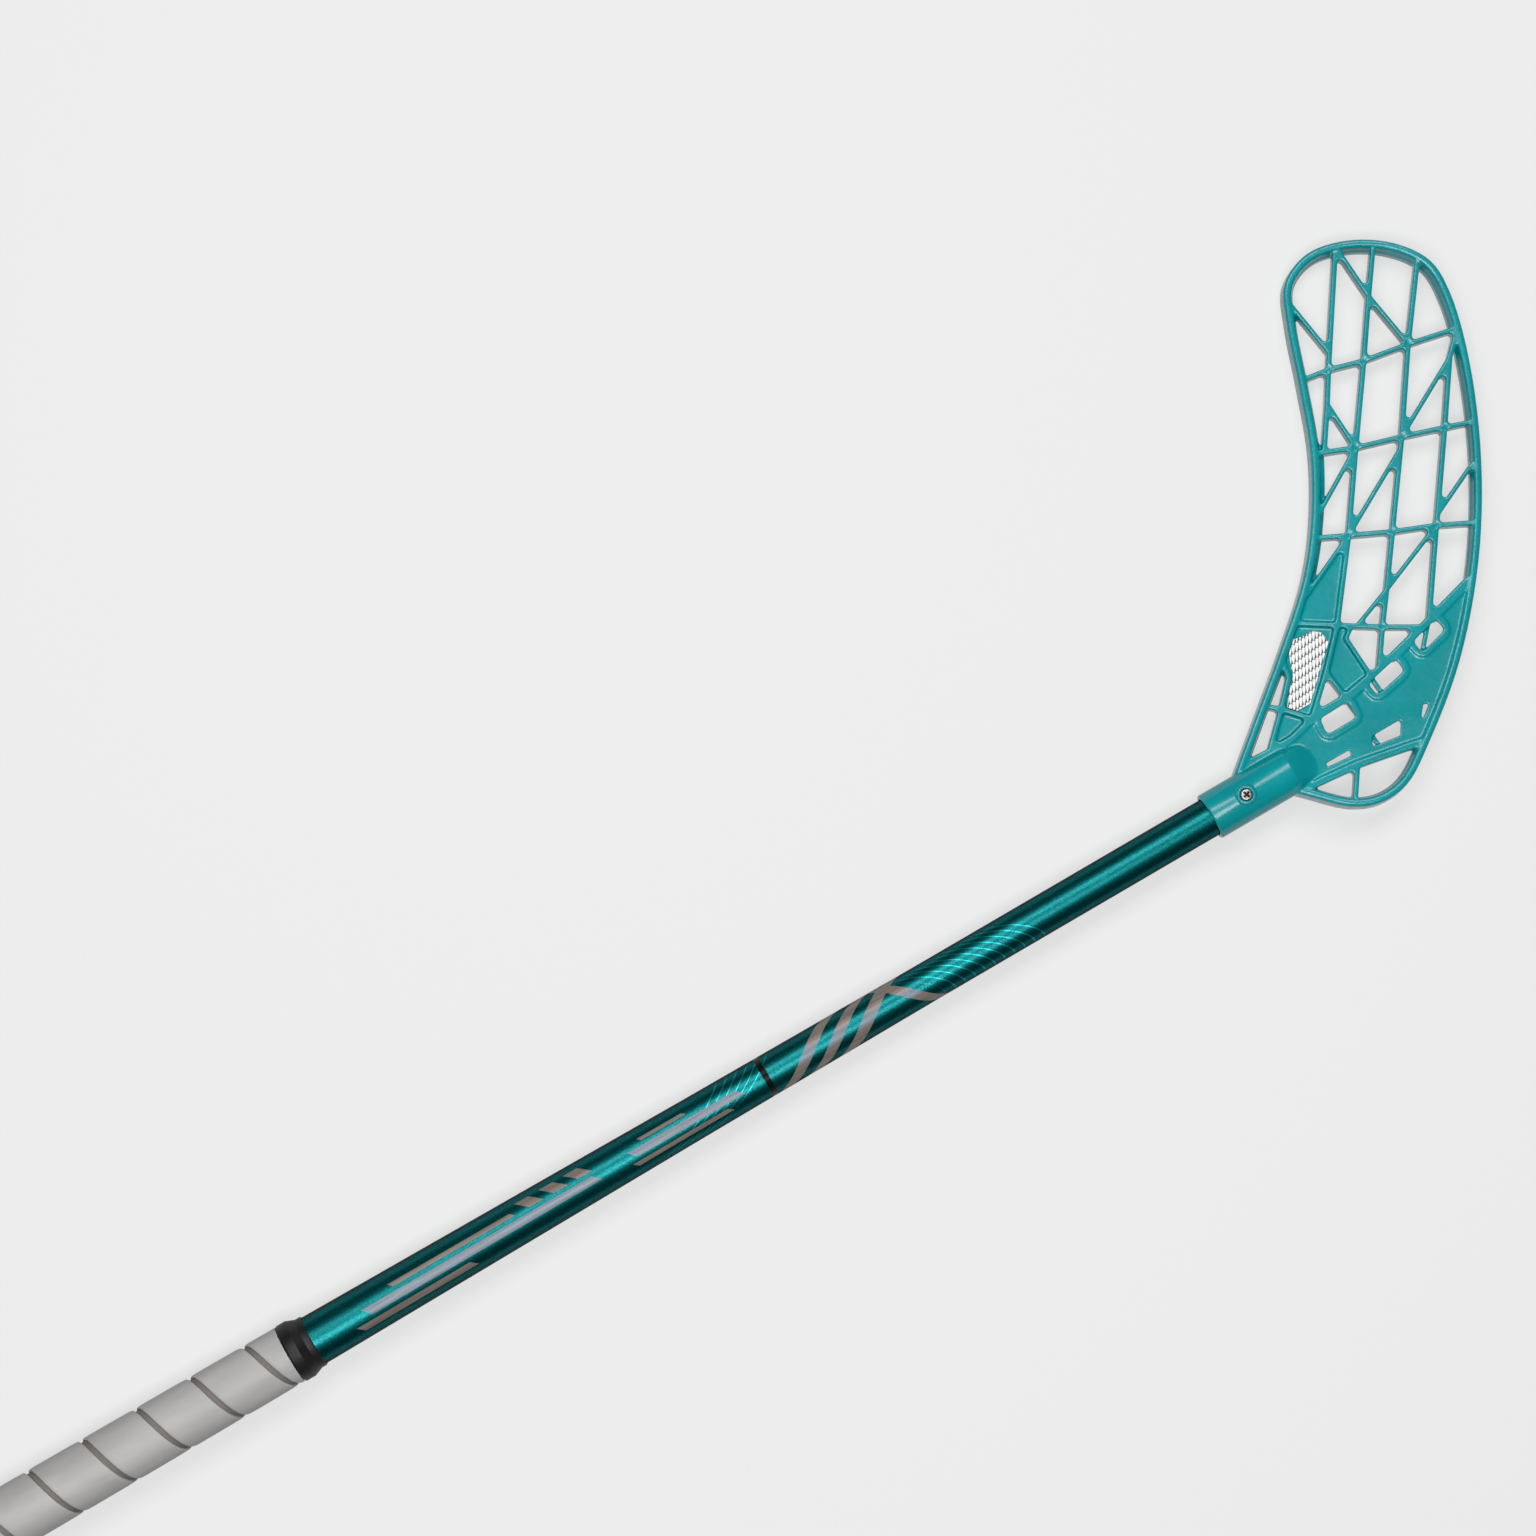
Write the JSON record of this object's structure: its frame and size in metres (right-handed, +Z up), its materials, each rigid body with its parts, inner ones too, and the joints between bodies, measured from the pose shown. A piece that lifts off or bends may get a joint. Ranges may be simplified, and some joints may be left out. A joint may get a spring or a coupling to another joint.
{
  "type": "floorball stick",
  "caption": "Floorball stick with a lattice blade screwed to a tapered tube shaft, a wound grip, a rubber grip ring and an end cap.",
  "frame": {"origin": "middle of the bottom of the stick's box, on the floor that it lies on", "axes": "+X along the shaft from the butt to the blade, +Y towards the blade's toe, +Z up out of the blade's hollow face"},
  "size_m": [1.0718, 0.2614, 0.0338],
  "materials": {
    "blade_plastic": "moulded teal plastic, satin",
    "inlay_silver": "silvery white, pressed with rows of small scales",
    "shaft_paint": "metallic teal lacquer over near black, on a composite tube",
    "grip_band": "light warm grey grip tape, matt",
    "holding_tape": "black tape",
    "ring_rubber": "black rubber, satin",
    "cap_plastic": "black moulded plastic",
    "screw_steel": "bright steel"
  },
  "bodies": {
    "stick": {"blade": "blade_plastic", "textured_inlay": "inlay_silver", "shaft": "shaft_paint", "grip_band": "grip_band", "holding_tape": "holding_tape", "grip_ring": "ring_rubber", "end_cap": "cap_plastic"},
    "front_screw": {"blade_screw_front": "screw_steel"},
    "back_screw": {"blade_screw_back": "screw_steel"}
  },
  "joints": [
    {"name": "front_screw_travel", "type": "slide", "parent": "stick", "child": "front_screw", "axis": [0, 0.1211, 0.9926], "range_m": [0, 0.006]},
    {"name": "back_screw_travel", "type": "slide", "parent": "stick", "child": "back_screw", "axis": [0, -0.1211, -0.9926], "range_m": [0, 0.006]}
  ]
}
